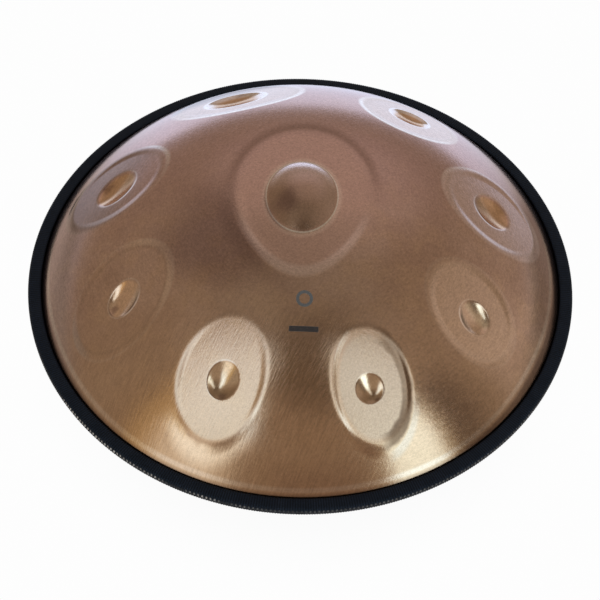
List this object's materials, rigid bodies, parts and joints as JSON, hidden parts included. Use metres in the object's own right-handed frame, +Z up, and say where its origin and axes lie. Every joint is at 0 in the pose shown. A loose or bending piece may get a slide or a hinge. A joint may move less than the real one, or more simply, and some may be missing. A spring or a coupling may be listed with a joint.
{
  "type": "handpan",
  "caption": "Lens-shaped steel hand drum: two domed shells joined at a flange, dimpled tone fields round a raised centre note, ribbed black edge trim, sound port below.",
  "frame": {"origin": "centre of the rest plane: on the vertical axis of the shells, at the lowest level of the flat land round the sound port", "axes": "+Z up along the axis of the shells, from the port to the raised centre note; -Y faces the viewer in front; +X to the viewer's right"},
  "size_m": [0.538, 0.538, 0.2365],
  "materials": {
    "top_shell_steel": "bronze-toned brushed steel, satin",
    "bottom_shell_steel": "bronze-toned brushed steel, satin",
    "adhesive": "cured dark adhesive film",
    "trim_rubber": "finely ribbed black edge trim, semi-matte",
    "trim_core_steel": "plain zinc-grey strip"
  },
  "bodies": {
    "root": {"top_shell": "top_shell_steel", "bottom_shell": "bottom_shell_steel", "seam_adhesive": "adhesive", "rim_trim": "trim_rubber", "rim_trim_core": "trim_core_steel"}
  },
  "joints": []
}
